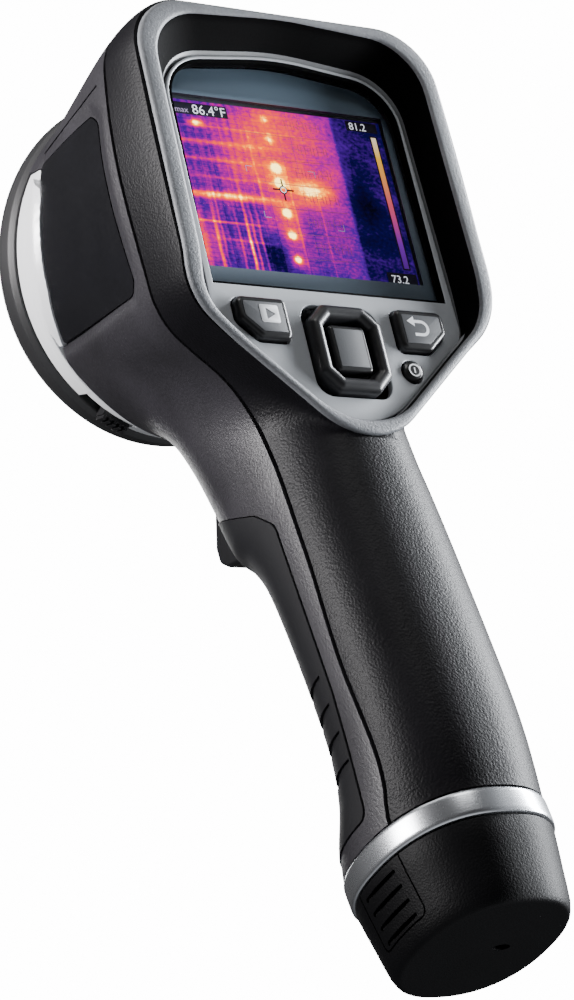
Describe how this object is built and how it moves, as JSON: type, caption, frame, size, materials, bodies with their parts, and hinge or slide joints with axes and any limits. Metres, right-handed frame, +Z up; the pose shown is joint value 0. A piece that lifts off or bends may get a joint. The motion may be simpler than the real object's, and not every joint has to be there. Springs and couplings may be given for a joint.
{
  "type": "thermal imaging camera",
  "caption": "Hand-held thermal imaging camera with a hooded colour display and keypad, a round lens head, a trigger grip and a battery in the handle.",
  "frame": {"origin": "centre of the flat bottom of the battery cap, the face the camera stands on", "axes": "+Z up the handle towards the display head, +Y forward towards the target and the trigger, +X to the user's right; the display faces -Y and the lens faces +Y and up"},
  "size_m": [0.0906, 0.1004, 0.2448],
  "materials": {
    "front_housing": "moulded dark warm-grey plastic with a fine even grain",
    "rear_housing": "black plastic with a leather-like grain and a semi-gloss sheen",
    "grip_rubber": "soft dark rubber overlay",
    "black_rubber": "black moulded rubber",
    "bumper_rubber": "thick soft black rubber, matt",
    "cap_rubber": "grained black over-moulded rubber",
    "gloss_panel": "polished black plastic",
    "display_surround": "mid-grey metallic paint with a fine texture",
    "keypad_face": "light grey printed film, satin",
    "display_glass": "clear hard-coated window",
    "lcd": "liquid crystal screen showing a false-colour picture",
    "keys": "black keys with printed pale symbols",
    "satin_ring": "satin silver",
    "black_plastic": "plain black moulding",
    "trigger_plastic": "black moulding, lightly polished",
    "coated_lens": "coated infrared lens, mirror-like with a violet tint",
    "steel": "plain steel",
    "gold_flex": "gold-plated contacts and copper flex",
    "circuit_board": "green circuit board",
    "foam": "closed-cell foam",
    "battery_wrap": "dark grey battery case"
  },
  "bodies": {
    "housing": {"front_shell": "front_housing", "rear_shell": "rear_housing", "seam_gasket": "black_rubber", "badge_panel_left": "gloss_panel", "badge_panel_right": "gloss_panel", "grip_overlay": "grip_rubber", "display_hood": "display_surround", "keypad_panel": "keypad_face", "display_window": "display_glass", "display_gasket": "foam", "lcd_module": "lcd", "board_screw_1": "steel", "board_screw_2": "steel", "board_screw_3": "steel", "board_screw_4": "steel", "display_tray": "black_plastic", "main_board": "circuit_board", "display_flex": "gold_flex", "keypad_board": "circuit_board", "keypad_mat": "black_rubber", "front_trim_ring": "satin_ring", "lens_frame": "black_plastic", "front_bumper": "bumper_rubber", "front_face_plate": "black_plastic", "camera_window": "display_glass", "cover_pin": "steel", "lens_carrier": "black_plastic", "lens_barrel": "black_plastic", "ir_lens": "coated_lens", "lens_retaining_ring": "steel", "visual_camera_module": "black_plastic", "ir_core": "gold_flex", "shutter_motor": "steel", "usb_socket": "steel", "trigger_pin": "steel", "trigger_bracket": "steel", "trigger_switch": "black_plastic", "trigger_spring": "steel", "base_ring": "satin_ring", "battery_contacts": "gold_flex"},
    "trigger": {"trigger": "trigger_plastic"},
    "archive_button": {"archive_button": "keys"},
    "cancel_button": {"cancel_button": "keys"},
    "power_button": {"power_button": "keys"},
    "nav_plate": {"nav_plate": "black_plastic"},
    "nav_ring": {"nav_ring": "keys"},
    "nav_center_button": {"nav_center_button": "keys"},
    "cover_lever": {"cover_lever": "black_plastic"},
    "lens_cover": {"lens_cover": "black_plastic"},
    "usb_flap": {"usb_flap": "black_rubber"},
    "nuc_shutter": {"nuc_shutter": "black_plastic"},
    "battery": {"battery_pack": "battery_wrap", "battery_cap": "cap_rubber"},
    "latch_left": {"latch_left": "cap_rubber"},
    "latch_right": {"latch_right": "cap_rubber"}
  },
  "joints": [
    {"name": "trigger_pull", "type": "hinge", "parent": "housing", "child": "trigger", "pos_m": [0, 0.0135, 0.136], "axis": [-1, 0, 0], "range_deg": [0, 8], "stiffness_Nm_per_rad": 0.05, "springref_deg": -11.46},
    {"name": "archive_button_press", "type": "slide", "parent": "housing", "child": "archive_button", "axis": [0, 0.9816, 0.1908], "range_m": [0, 0.0007], "stiffness_N_per_m": 400, "springref_m": -0.001},
    {"name": "cancel_button_press", "type": "slide", "parent": "housing", "child": "cancel_button", "axis": [0, 0.9816, 0.1908], "range_m": [0, 0.0007], "stiffness_N_per_m": 400, "springref_m": -0.001},
    {"name": "power_button_press", "type": "slide", "parent": "housing", "child": "power_button", "axis": [0, 0.9816, 0.1908], "range_m": [0, 0.0007], "stiffness_N_per_m": 400, "springref_m": -0.001},
    {"name": "nav_tilt_up_down", "type": "hinge", "parent": "housing", "child": "nav_plate", "pos_m": [0, -0.02809, 0.13816], "axis": [1, 0, 0], "range_deg": [-3, 3], "stiffness_Nm_per_rad": 0.03},
    {"name": "nav_tilt_left_right", "type": "hinge", "parent": "nav_plate", "child": "nav_ring", "pos_m": [0, -0.02908, 0.13797], "axis": [0, -0.1908, 0.9816], "range_deg": [-3, 3], "stiffness_Nm_per_rad": 0.03},
    {"name": "nav_center_press", "type": "slide", "parent": "nav_ring", "child": "nav_center_button", "axis": [0, 0.9816, 0.1908], "range_m": [0, 0.0005], "stiffness_N_per_m": 400, "springref_m": -0.001},
    {"name": "cover_lever_turn", "type": "hinge", "parent": "housing", "child": "cover_lever", "pos_m": [0, 0.0233, 0.207], "axis": [0, 0.866, 0.5], "range_deg": [0, 7.5]},
    {"name": "lens_cover_swing", "type": "hinge", "parent": "housing", "child": "lens_cover", "pos_m": [-0.027, 0.03182, 0.19344], "axis": [0, -0.866, -0.5], "range_deg": [0, 45]},
    {"name": "usb_flap_open", "type": "hinge", "parent": "housing", "child": "usb_flap", "pos_m": [0, -0.0347, 0.22907], "axis": [1, 0, 0], "range_deg": [0, 100]},
    {"name": "nuc_shutter_swing", "type": "hinge", "parent": "housing", "child": "nuc_shutter", "pos_m": [0, 0.00486, 0.17614], "axis": [0, -0.866, -0.5], "range_deg": [0, 48], "stiffness_Nm_per_rad": 0.0005, "springref_deg": -17.19},
    {"name": "battery_draw", "type": "slide", "parent": "housing", "child": "battery", "axis": [0, 0, -1], "range_m": [0, 0.11]},
    {"name": "latch_left_press", "type": "slide", "parent": "battery", "child": "latch_left", "axis": [1, 0, 0], "range_m": [0, 0.002], "stiffness_N_per_m": 500, "springref_m": -0.001},
    {"name": "latch_right_press", "type": "slide", "parent": "battery", "child": "latch_right", "axis": [-1, 0, 0], "range_m": [0, 0.002], "stiffness_N_per_m": 500, "springref_m": -0.001}
  ],
  "couplings": [
    {"joint": "lens_cover_swing", "follows": "cover_lever_turn", "ratio": 6}
  ]
}
